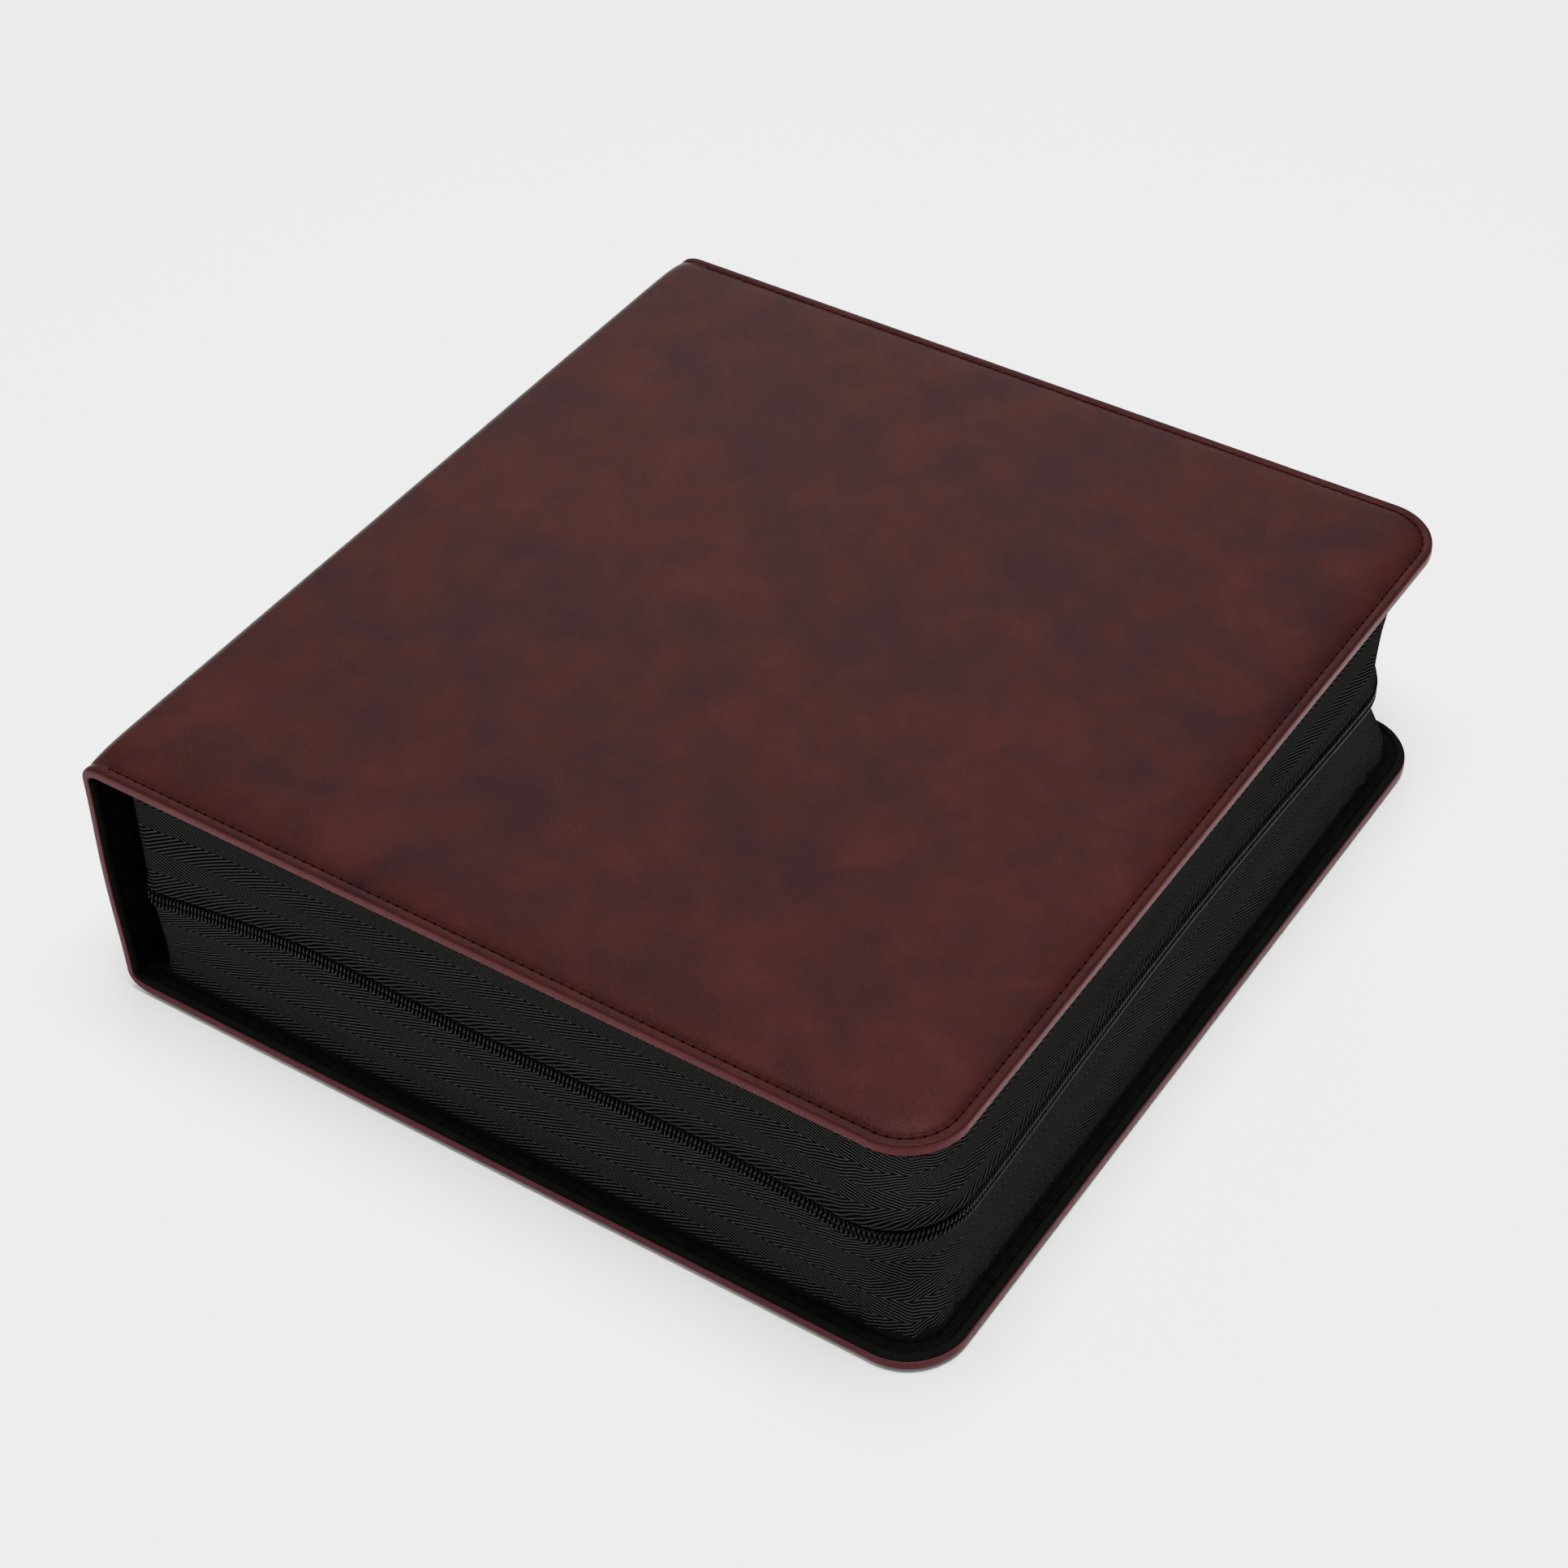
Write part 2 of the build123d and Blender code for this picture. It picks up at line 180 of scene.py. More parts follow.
def skin(
    name, points, uv, material, wrap=False, caps=False, merge=0.0, fill=False, sharp=40, edge=None
):
    """A mesh over a grid of points: rows along the sweep, columns round the profile.

    uv has one more column than points where the profile wraps. edge gives each column's share of
    the side face's lighter tone, for leather: partly the worn edge's own colour and partly painted
    light where the edge faces the lamps and the floor.
    """
    rows, cols = points.shape[:2]
    index = np.arange(rows * cols).reshape(rows, cols)
    here = np.arange(cols if wrap else cols - 1)
    after = (here + 1) % cols
    quads = np.stack(
        [index[:-1, here], index[1:, here], index[1:, after], index[:-1, after]], -1
    ).reshape(-1, 4)
    corner_uv = np.stack(
        [uv[:-1, here], uv[1:, here], uv[1:, here + 1], uv[:-1, here + 1]], -2
    ).reshape(-1, 2)
    faces = quads.tolist()
    if caps:
        faces += [index[0].tolist(), index[-1][::-1].tolist()]
        corner_uv = np.concatenate([corner_uv, uv[0, :cols], uv[-1, :cols][::-1]])
    mesh = bpy.data.meshes.new(name)
    mesh.from_pydata(points.reshape(-1, 3).tolist(), [], faces)
    layer = mesh.uv_layers.new(name="UVMap")
    layer.data.foreach_set("uv", corner_uv.astype(np.float32).ravel())
    work = bmesh.new()
    work.from_mesh(mesh)
    if edge is not None:
        layer = work.verts.layers.float.new("edge_wear_and_painted_light")
        for number, vert in enumerate(work.verts):
            vert[layer] = edge[number % cols]
    if merge:
        bmesh.ops.remove_doubles(work, verts=work.verts, dist=merge)
    if fill:
        border = [e for e in work.edges if e.is_boundary]
        bmesh.ops.holes_fill(work, edges=border, sides=0)
    smooth_outward(work)
    work.to_mesh(mesh)
    work.free()
    return finish_mesh(name, mesh, material, sharp)


def tube_mesh(name, lines, radius, sides, material):
    """Round tubes with closed ends along each line of points, in one mesh."""
    verts, faces = [], []
    for line in lines:
        line = np.asarray(line, float)
        n = len(line)
        along = np.gradient(line, axis=0)
        along /= np.linalg.norm(along, axis=1)[:, None]
        side = np.cross(along, [0.0, 0.0, 1.0])
        flat = np.linalg.norm(side, axis=1) < 1e-6
        side[flat] = [1.0, 0.0, 0.0]
        side /= np.linalg.norm(side, axis=1)[:, None]
        up = np.cross(side, along)
        turn = np.arange(sides) / sides * 2 * math.pi
        ring = (
            line[:, None]
            + side[:, None] * np.cos(turn)[None, :, None] * radius
            + up[:, None] * np.sin(turn)[None, :, None] * radius
        )
        base = len(verts)
        verts.extend(ring.reshape(-1, 3).tolist())
        index = np.arange(n * sides).reshape(n, sides) + base
        after = (np.arange(sides) + 1) % sides
        quads = np.stack(
            [index[:-1], index[:-1][:, after], index[1:][:, after], index[1:]], -1
        ).reshape(-1, 4)
        faces.extend(quads.tolist())
        faces.append(index[0][::-1].tolist())
        faces.append(index[-1].tolist())
    mesh = bpy.data.meshes.new(name)
    mesh.from_pydata(verts, [], faces)
    mesh.shade_smooth()
    return finish_mesh(name, mesh, material, 60)


def noise_1d(values, scale, seed):
    """Smooth seeded noise along a line of values, about -1 to 1."""
    return np.array([noise.noise(Vector((v / scale, seed, 0.37))) for v in values])


def smooth01(x):
    """An even ease from 0 to 1."""
    x = np.clip(x, 0.0, 1.0)
    return x * x * (3 - 2 * x)


# ------------------------------------------------------------------ materials
class Nodes:
    """A few shorthands for building one material's nodes."""

    def __init__(self, name):
        self.material = bpy.data.materials.new(name)
        self.material.use_nodes = True
        self.tree = self.material.node_tree
        self.shader = self.tree.nodes["Principled BSDF"]

    def add(self, kind, inputs=None, **settings):
        node = self.tree.nodes.new(kind)
        for key, value in settings.items():
            setattr(node, key, value)
        for key, value in (inputs or {}).items():
            self.put(value, node.inputs[key])
        return node

    def put(self, value, socket):
        if isinstance(value, bpy.types.NodeSocket):
            self.tree.links.new(value, socket)
        else:
            socket.default_value = value

    def math(self, operation, a, b=0.0, c=0.0):
        node = self.add("ShaderNodeMath", operation=operation)
        for value, socket in zip((a, b, c), node.inputs):
            self.put(value, socket)
        return node.outputs[0]

    def wave(self, turns):
        """A sine wave between 0 and 1, one to a turn."""
        sine = self.math("SINE", self.math("MULTIPLY", turns, 2 * math.pi))
        return self.math("MULTIPLY_ADD", sine, 0.5, 0.5)

    def ramp(self, factor, *stops):
        node = self.add("ShaderNodeValToRGB", {"Fac": factor})
        elements = node.color_ramp.elements
        while len(elements) < len(stops):
            elements.new(0.5)
        for element, (position, colour) in zip(elements, stops):
            element.position = position
            element.color = (*colour, 1.0)
        return node.outputs["Color"]

    def mix(self, factor, a, b):
        node = self.add("ShaderNodeMix", data_type="RGBA")
        self.put(factor, node.inputs[0])
        for value, socket in ((a, node.inputs[6]), (b, node.inputs[7])):
            self.put((*value, 1.0) if isinstance(value, tuple) else value, socket)
        return node.outputs[2]

    def noise(self, vector, scale, detail=2.0, rough=0.5, distortion=0.0):
        return self.add(
            "ShaderNodeTexNoise",
            {"Vector": vector, "Scale": scale, "Detail": detail, "Roughness": rough,
             "Distortion": distortion},
        ).outputs["Fac"]

    def bump(self, height, distance, strength=1.0):
        return self.add(
            "ShaderNodeBump", {"Height": height, "Distance": distance, "Strength": strength}
        ).outputs["Normal"]

    def surface(self, **values):
        for key, value in values.items():
            socket = self.shader.inputs[key.replace("_", " ")]
            if isinstance(value, tuple) and len(value) == 3:
                value = (*value, 1.0)
            self.put(value, socket)


def leather_material(name, seed=0.0):
    """Mottled oxblood leather with a low sheen and a fine pebble grain."""
    n = Nodes(name)
    uv = n.add("ShaderNodeUVMap", uv_map="UVMap").outputs["UV"]
    shift = (seed, seed * 0.7, 0.0)
    place = n.add("ShaderNodeMapping", {"Vector": uv, "Location": shift}).outputs[0]
    broad = n.noise(place, 17.0, 3.0, 0.55, 0.6)
    cloud = n.noise(place, 48.0, 4.0, 0.6, 0.4)
    fine = n.noise(place, 420.0, 3.0, 0.6)
    mottle = n.math("MULTIPLY_ADD", cloud, 0.5, n.math("MULTIPLY", broad, 0.5))
    colour = n.ramp(
        mottle,
        (0.36, (0.0052, 0.0019, 0.0024)),
        (0.50, (0.0078, 0.0023, 0.0023)),
        (0.64, (0.0104, 0.0030, 0.0025)),
    )
    colour = n.mix(n.math("MULTIPLY", fine, 0.3), colour, (0.0050, 0.0017, 0.0019))
    # The side face is coloured lighter and pinker: partly the worn edge's own colour, partly painted
    # light where the edge faces the lamps and the floor.
    turned = n.add("ShaderNodeAttribute", attribute_name="edge_wear_and_painted_light").outputs["Fac"]
    colour = n.mix(n.math("MULTIPLY", turned, 0.85), colour, (0.036, 0.0085, 0.0105))
    cell = n.add(
        "ShaderNodeTexVoronoi", {"Vector": place, "Scale": 1150.0, "Randomness": 1.0},
        feature="DISTANCE_TO_EDGE",
    ).outputs["Distance"]
    pebble = n.math("MINIMUM", n.math("MULTIPLY", cell, 3.0), 1.0)
    crease = n.noise(place, 330.0, 5.0, 0.7, 0.3)
    height = n.math("MULTIPLY_ADD", crease, 0.9, pebble)
    rough = n.math("MULTIPLY_ADD", fine, 0.12, n.math("MULTIPLY_ADD", broad, 0.10, 0.31))
    n.surface(Base_Color=colour, Roughness=rough, Normal=n.bump(height, 0.00011, 0.5))
    n.shader.inputs["IOR"].default_value = 1.3
    n.shader.inputs["Specular IOR Level"].default_value = 0.045
    n.shader.inputs["Specular Tint"].default_value = (1.0, 0.42, 0.46, 1.0)
    return n.material


BAND_WIDTH = 9 * MM
RIB_PITCH = 1.43 * MM  # measured up the wall
BEAD_PITCH = 0.78 * MM
RIB_SLANT = math.tan(math.radians(23.5))


def herringbone_material():
    """Near-black polyester in bands of twill that change direction; u runs along the wall."""
    n = Nodes("gusset_herringbone")
    uv = n.add("ShaderNodeUVMap", uv_map="UVMap").outputs["UV"]
    split = n.add("ShaderNodeSeparateXYZ", {"Vector": uv})
    wobble = n.math("SUBTRACT", n.noise(uv, 160.0, 2.0), 0.5)
    u = split.outputs["X"]
    v = n.math("MULTIPLY_ADD", wobble, 0.00025, split.outputs["Y"])
    band = n.math("FLOOR", n.math("DIVIDE", v, BAND_WIDTH))
    sign = n.math("MULTIPLY_ADD", n.math("MODULO", band, 2.0), -2.0, 1.0)
    slant = n.math("MULTIPLY", n.math("MULTIPLY", u, RIB_SLANT), sign)
    across = n.math("DIVIDE", n.math("SUBTRACT", v, slant), RIB_PITCH)
    rib = n.wave(across)
    row = n.math("FLOOR", across)
    bead = n.wave(n.math("MULTIPLY_ADD", row, 0.37, n.math("DIVIDE", u, BEAD_PITCH)))
    thread = n.math("MULTIPLY", rib, n.math("MULTIPLY_ADD", bead, 0.45, 0.55))
    patch = n.noise(uv, 45.0, 3.0)
    fuzz = n.noise(uv, 2600.0, 2.0)
    gap, crest = (0.0006, 0.0006, 0.0006), (0.0280, 0.0286, 0.0266)
    colour = n.ramp(thread, (0.22, gap), (0.90, crest))
    colour = n.mix(n.math("MULTIPLY", patch, 0.25), colour, (0.0042, 0.0043, 0.0040))
    height = n.math("MULTIPLY_ADD", fuzz, 0.15, thread)
    n.surface(Base_Color=colour, Roughness=0.8, Normal=n.bump(height, 0.00022, 0.8))
    n.shader.inputs["Specular IOR Level"].default_value = 0.0
    return n.material


def woven_material(name, dark, light, pitch):
    """A plain fine weave in object space, without gloss."""
    n = Nodes(name)
    place = n.add("ShaderNodeTexCoord").outputs["Object"]
    split = n.add("ShaderNodeSeparateXYZ", {"Vector": place})
    waves = [
        n.math("SINE", n.math("MULTIPLY", split.outputs[axis], 2 * math.pi / pitch))
        for axis in ("X", "Y", "Z")
    ]
    weave = n.math("MULTIPLY", waves[0], n.math("ADD", waves[1], waves[2]))
    weave = n.math("MULTIPLY_ADD", weave, 0.25, 0.5)
    patch = n.noise(place, 300.0, 3.0)
    colour = n.ramp(n.math("MULTIPLY_ADD", patch, 0.4, n.math("MULTIPLY", weave, 0.6)),
                    (0.3, dark), (0.75, light))
    n.surface(Base_Color=colour, Roughness=0.8, Normal=n.bump(weave, 0.00008, 0.5))
    n.shader.inputs["Specular IOR Level"].default_value = 0.0
    return n.material


def plain_material(name, colour, roughness, gloss=0.5, variation=0.12, grain=900.0, bump=0.00003):
    """A plain colour with slight unevenness in tone, gloss and height."""
    n = Nodes(name)
    place = n.add("ShaderNodeTexCoord").outputs["Object"]
    speck = n.noise(place, grain, 3.0)
    cloud = n.noise(place, grain / 12, 2.0)
    darker = tuple(c * (1 - 2.2 * variation) for c in colour)
    n.surface(
        Base_Color=n.mix(n.math("MULTIPLY_ADD", cloud, 0.6, n.math("MULTIPLY", speck, 0.4)),
                         colour, darker),
        Roughness=n.math("MULTIPLY_ADD", cloud, 0.12, roughness - 0.06),
        Normal=n.bump(speck, bump, 0.6),
    )
    n.shader.inputs["Specular IOR Level"].default_value = gloss
    return n.material


def film_material():
    """Clear glossy pocket film."""
    n = Nodes("pocket_film_clear")
    place = n.add("ShaderNodeTexCoord").outputs["Object"]
    ripple = n.noise(place, 35.0, 2.0)
    n.surface(
        Base_Color=(0.93, 0.95, 0.97), Roughness=0.08, Alpha=0.22,
        Normal=n.bump(ripple, 0.0012, 0.35), Coat_Weight=0.4,
    )
    return n.material


def metal_material(name, colour, roughness):
    """Black plated metal, worn a little unevenly."""
    n = Nodes(name)
    place = n.add("ShaderNodeTexCoord").outputs["Object"]
    wear = n.noise(place, 700.0, 4.0)
    n.surface(
        Base_Color=colour, Metallic=0.75,
        Roughness=n.math("MULTIPLY_ADD", wear, 0.18, roughness - 0.09),
        Normal=n.bump(wear, 0.00003, 0.5),
    )
    return n.material


LEATHER = leather_material("leather_oxblood")
LEATHER_BACK = leather_material("leather_oxblood_back", seed=0.61)
LEATHER_OF = {"back": LEATHER_BACK, "front": LEATHER}
HERRINGBONE = herringbone_material()
BINDING = plain_material("binding_ribbed", (0.0036, 0.0036, 0.0034), 0.7, 0.0, variation=0.2)
TAPE = woven_material(
    "zipper_tape_weave", (0.0005, 0.0005, 0.0005), (0.0040, 0.0040, 0.0038), 1.1 * MM
)
LINING = woven_material(
    "lining_fabric", (0.0007, 0.0007, 0.0007), (0.0036, 0.0036, 0.0035), 1.3 * MM
)
COIL = plain_material("zipper_coil_nylon", (0.0008, 0.0008, 0.0008), 0.30, 0.05, grain=2500.0)
CORE = plain_material("leaf_core_board", (0.0050, 0.0050, 0.0054), 0.5, 0.2, grain=1400.0)
FILM = film_material()
FOAM = plain_material("foam_padding", (0.10, 0.095, 0.09), 0.9, grain=1800.0, bump=0.0002)
BOARD = plain_material("greyboard", (0.08, 0.07, 0.06), 0.85, grain=700.0, bump=0.0001)
THREAD = plain_material(
    "stitch_thread", (0.0078, 0.0018, 0.0019), 0.6, 0.0, grain=4000.0, bump=0.00005
)
# Painted shade: dark plugs that stand in for the shadow inside each needle hole.
HOLE_SHADE = plain_material("needle_hole_painted_shade", (0.0006, 0.0003, 0.0003), 0.9, 0.0)
SLIDER = metal_material("slider_black_metal", (0.012, 0.012, 0.0125, 1.0), 0.34)
PULL = metal_material("pull_black_metal", (0.012, 0.012, 0.0125, 1.0), 0.38)

# ------------------------------------------------------------------ covers
# Distance in from the outline and height over the edge's outer face, in mm, from the
# turned-in margin inside, over the rounded edge and the stitched margin, onto the pad.
LEATHER_PROFILE = np.array([
    (20.0, -4.1), (3.0, -4.1), (0.35, -4.1), (0.08, -4.0), (0.0, -3.8), (0.0, -3.6),
    (0.0, -2.4), (0.0, -1.3),
    (0.12, -0.75), (0.38, -0.33), (0.8, -0.1), (1.4, 0.0), (2.2, 0.0), (2.9, -0.1),
    (3.4, -0.38), (3.8, -0.55), (4.2, -0.38), (4.8, 0.05), (5.6, 0.45), (7.0, 0.95),
    (9.0, 1.42), (12.0, 1.88), (16.0, 2.2), (20.0, 2.38),
]) * MM
RING = 20 * MM  # the swept profile ends this far in
FULL_RISE = 2.7 * MM  # the pad's rise that the profile's heights are drawn for
PAD_ROWS = 24
DIMPLE = 0.30 * MM  # how far the thread pulls the leather down
UV_REACH = 45 * MM  # how far out from the ring the unrolled leather's uv goes
FIELD_INSET = 26 * MM  # where the spine strip's evenly spaced rows start


def undulate(x, y):
    """The pad's slight waviness at one place."""
    broad = noise.noise(Vector((x / 0.055, y / 0.055, 2.1)))
    close = noise.noise(Vector((x / 0.021, y / 0.021, 5.3)))
    return 0.22 * MM * broad + 0.10 * MM * close


def pad_height(distance, x, y):
    """The pad's height over the edge plane, deeper in than the swept profile reaches."""
    past = max(0.0, distance - RING)
    grow = 1 - math.exp(-past / (18 * MM))
    fade = min(1.0, past / (20 * MM))
    return LEATHER_PROFILE[-1, 1] + 0.28 * MM * grow + (undulate(x, y) - 0.15 * MM) * fade * 0.6


def edge_share(heights):
    """How much each column belongs to the turned edge: 1 on the side face, 0 on the field.

    A height is None on the field, where the profile has ended.
    """
    return [0.0 if h is None else float(smooth01((-h / MM - 0.25) / 0.9)) for h in heights]


def cover_leather(side):
    """The leather skin over one cover: edge, stitched margin and padded field."""
    up, rise = UP[side], PAD_RISE[side] / FULL_RISE
    step = STITCH_PITCH / (6 if side == "front" else 3)  # the back shows less, so it is coarser
    p, normal, _ = cover_outline(step)
    along = arc_lengths(p - normal * STITCH_INSET)
    dimple = 0.5 + 0.5 * np.cos(2 * math.pi * along / STITCH_PITCH)
    columns, uvs = [], []
    unrolled = arc_lengths(LEATHER_PROFILE)
    unrolled = unrolled[-1] - unrolled
    ring = p - normal * RING
    for (d, z), w in zip(LEATHER_PROFILE, unrolled):
        height = np.full(len(p), z * rise if z > 0 else z)
        if z > -1 * MM:
            height -= DIMPLE * dimple * math.exp(-(((d - STITCH_INSET) / (0.8 * MM)) ** 2))
            height += 0.06 * MM * noise_1d(along, 12 * MM, d * 400) * min(1.0, d / (2 * MM))
        xy = p - normal * d
        columns.append(np.column_stack([xy, EDGE_Z[side] + up * height]))
        uvs.append(ring + normal * min(w, UV_REACH))
    # The rows of the field close in on a line along the cover's middle.
    scale = (FORE_X - HALF_LENGTH - COVER_X) / (FORE_X - RING - COVER_X)
    centre = np.column_stack([COVER_X + (ring[:, 0] - COVER_X) * scale, np.zeros(len(ring))])
    for row in range(1, PAD_ROWS + 1):
        t = row / PAD_ROWS
        xy = ring * (1 - t) + centre * t
        inner = RING + t * (HALF_LENGTH - RING)
        height = np.array([pad_height(inner, x, y) for x, y in xy]) * rise
        columns.append(np.column_stack([xy, EDGE_Z[side] + up * height]))
        uvs.append(xy)
    flat = np.column_stack([centre, np.full(len(p), INNER_Z[side])])
    columns.insert(0, flat)
    uvs.insert(0, centre)
    share = edge_share([None, *LEATHER_PROFILE[:, 1], *[None] * PAD_ROWS])
    obj = skin(
        f"{side}_cover_leather", np.stack(columns, 1), np.stack(uvs, 1), LEATHER_OF[side],
        merge=0.002 * MM, fill=True, edge=share,
    )
    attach(obj, BODY_OF[side])
    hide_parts(f"{side}_leather")


for cover_side in SIDES:
    cover_leather(cover_side)


# ------------------------------------------------------------------ spine and hinges
HINGE_POWER = 2.3  # how square each bend is; 2 is round
SPINE_TOP = {side: EDGE_Z[side] - UP[side] * HINGE_RADIUS for side in SIDES}
SPINE_LENGTH = SPINE_TOP["front"] - SPINE_TOP["back"]
SPINE_OUT = 2.4 * MM  # the filled case pushes the spine out this far
SPINE_BOW = 1.2 * MM  # and its middle this much further
LINING_OVERLAP = 0.1 * MM  # how far the strips inside sink into the leather


def spine_strip(name, stations, material):
    """A strip round the spine, closed, with the cover's edge profile at both ends.

    A station is (x, z, outward x, outward z, thickness, pad share, length along).
    """
    profile = LEATHER_PROFILE[1:]
    edge_ys = [(-HALF_LENGTH + d, z) for d, z in profile] + [
        (y, None) for y in np.linspace(-HALF_LENGTH + FIELD_INSET, HALF_LENGTH - FIELD_INSET, 38)
    ] + [(HALF_LENGTH - d, z) for d, z in profile[::-1]]
    points, uvs = [], []
    for x, z, out_x, out_z, thick, share, length in stations:
        row, row_uv = [], []
        for y, h in edge_ys:
            if h is None:
                height = pad_height(HALF_LENGTH - abs(y), COVER_X, y) * share
            elif h > 0:
                height = h * share
            elif h < -2 * MM:
                height = h * thick / EDGE
            else:
                height = h
            row.append((x + out_x * height, y, z + out_z * height))
            on_face = h is None or h > -1 * MM
            v = y if on_face else math.copysign(HALF_LENGTH - h - 1 * MM, y)
            row_uv.append((COVER_X - length, v))
        points.append(row)
        uvs.append(row_uv + [row_uv[0]])
    return skin(name, np.array(points), np.array(uvs), material, wrap=True, caps=True,
                edge=edge_share([h for _, h in edge_ys]))


def hinge_stations(side, count=16):
    """Stations round one hinge from the cover's border to the spine, over its outer face."""
    up = UP[side]
    centre_z = EDGE_Z[side] - up * HINGE_RADIUS
    share = PAD_RISE[side] / FULL_RISE
    stations = [(COVER_X, EDGE_Z[side], 0.0, up, EDGE, share, 0.0)]
    for k in range(count + 1):
        angle = math.pi / 2 * k / count
        fade = smooth01(k / count)
        across = math.sin(angle) ** (2 / HINGE_POWER)
        along = math.cos(angle) ** (2 / HINGE_POWER)
        out_x, out_z = across ** (HINGE_POWER - 1), along ** (HINGE_POWER - 1)
        size = math.hypot(out_x, out_z)
        stations.append((
            HINGE_X - across * (HINGE_RADIUS + SPINE_OUT),
            centre_z + up * along * HINGE_RADIUS,
            -out_x / size, up * out_z / size,
            EDGE + (SPINE_EDGE - EDGE) * fade,
            share * (1 - fade),
            COVER_X - HINGE_X + angle * HINGE_RADIUS,
        ))
    return stations


def spine_stations(count=18):
    """Stations down the spine, which bows out a little between the hinges."""
    turn = COVER_X - HINGE_X + math.pi / 2 * HINGE_RADIUS
    stations = []
    for t in np.linspace(0, 1, count):
        slope = SPINE_BOW * math.pi / SPINE_LENGTH * math.sin(2 * math.pi * t)
        size = math.hypot(1.0, slope)
        stations.append((
            SPINE_X - SPINE_OUT - SPINE_BOW * math.sin(math.pi * t) ** 2,
            SPINE_TOP["front"] - SPINE_LENGTH * t, -1 / size, slope / size,
            SPINE_EDGE, 0.0, turn + SPINE_LENGTH * t,
        ))
    return stations


def bend_with_hinge(obj, side):
    """Bake a piece's placement into its mesh."""
    if side == "back":
        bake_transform(obj)
    else:
        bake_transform(obj)


for hinge_side in SIDES:
    hinge = spine_strip(
        f"{hinge_side}_hinge_leather", hinge_stations(hinge_side), LEATHER_OF[hinge_side]
    )
    bend_with_hinge(hinge, hinge_side)

spine_flat = spine_strip("spine_outer_leather", spine_stations(), LEATHER)
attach(spine_flat, "spine")
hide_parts("spine_leather", "spine_board")


# ------------------------------------------------------------------ stitching
NEEDLE_GAP = 0.45 * MM  # from a hole's middle to the end of a thread
THREAD_RADIUS = 0.30 * MM
GROOVE_DEPTH = 0.52 * MM
HOLE_HALF_LENGTH = 0.72 * MM
HOLE_HALF_WIDTH = 0.45 * MM
HOLE_CORNERS = 10


def stitch_threads(side, at, count):
    """One short humped thread for each stitch; at gives the seam's place at a length along it."""
    groove = EDGE_Z[side] - UP[side] * GROOVE_DEPTH
    t = np.linspace(0.0, 1.0, 9)
    hump = np.sin(math.pi * t) ** 0.5
    lift = groove + UP[side] * (0.42 * MM * hump - 0.26 * MM)
    threads = []
    for k in range(count):
        start = k * STITCH_PITCH + NEEDLE_GAP
        xy = np.array([at(start + (STITCH_PITCH - 2 * NEEDLE_GAP) * v) for v in t])
        threads.append(np.column_stack([xy, lift]))
    return tube_mesh(f"{side}_stitch_threads", threads, THREAD_RADIUS, 6, THREAD)


def needle_holes(side, at, count):
    """A dark oval plug at each needle hole, in line with the seam: painted shade standing in for the
    hole's depth.
    """
    up, n = UP[side], HOLE_CORNERS
    middle = EDGE_Z[side] - up * (GROOVE_DEPTH + 0.2 * MM)
    verts, faces = [], []
    for k in range(count):
        here, ahead = (at(k * STITCH_PITCH + d) for d in (-0.1 * MM, 0.1 * MM))
        way = (ahead - here) / max(1e-9, np.hypot(*(ahead - here)))
        square = np.array([-way[1], way[0]])
        base = len(verts)
        for level, grow in ((0.22 * MM, 0.85), (-0.3 * MM, 1.0)):
            for a in np.arange(n) / n * 2 * math.pi:
                offset = (
                    way * math.cos(a) * HOLE_HALF_LENGTH + square * math.sin(a) * HOLE_HALF_WIDTH
                )
                verts.append((*(at(k * STITCH_PITCH) + offset * grow), middle + up * level))
        faces.append([base + m for m in range(n)])
        faces.append([base + n + m for m in range(n - 1, -1, -1)])
        faces += [[base + m, base + n + m, base + n + (m + 1) % n, base + (m + 1) % n]
                  for m in range(n)]
    mesh = bpy.data.meshes.new(f"{side}_needle_holes")
    mesh.from_pydata(verts, [], faces)
    return finish_mesh(f"{side}_needle_holes", mesh, HOLE_SHADE)


def stitches(side):
    """Lock stitching round one cover: short threads that dip into needle holes."""
    p, normal, _ = cover_outline(STITCH_PITCH / 12)
    line = p - normal * STITCH_INSET
    along = arc_lengths(line)
    count = int(along[-1] / STITCH_PITCH)

    def at(length):
        return np.array([np.interp(length, along, line[:, k]) for k in (0, 1)])

    for obj in (stitch_threads(side, at, count), needle_holes(side, at, count)):
        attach(obj, BODY_OF[side])


for cover_side in SIDES:
    stitches(cover_side)


# ------------------------------------------------------------------ bindings
ROLL_RIB = 1.25 * MM
ROLL_SWELL = 0.10
FOOT_RIB = 1.4 * MM


def sweep_profile(name, path, profile, base_z, up, material, rib=None, slant=0.0, amount=0.0):
    """Sweep a closed (inward, away from the cover) profile; ribs swell it as it goes along."""
    p, normal, s = path
    centre = profile.mean(0)
    columns = []
    for d, z in profile:
        swell = np.ones(len(p))
        if rib and z > 0.01 * MM:
            swell = 1.0 + amount * np.cos(2 * math.pi * (s + slant * z) / rib)
        depth = centre[0] + (d - centre[0]) * swell
        columns.append(np.column_stack([p - normal * depth[:, None], base_z - up * z * swell]))
    points = np.stack(columns, 1)
    around = arc_lengths(profile)
    around = np.append(around, around[-1] + np.hypot(*(profile[0] - profile[-1])))
    uv = np.stack(np.meshgrid(s, around, indexing="ij"), -1)
    return skin(name, points, uv, material, wrap=True, caps=True, sharp=60)


def arch(inner, outer, height, count=9, power=1.0):
    """A half-round profile from one inset to another, given in mm; a low power makes it flat."""
    t = np.linspace(0, math.pi, count)
    mid, half = (inner + outer) / 2, (outer - inner) / 2
    return np.column_stack([mid - half * np.cos(t), height * np.sin(t) ** power]) * MM


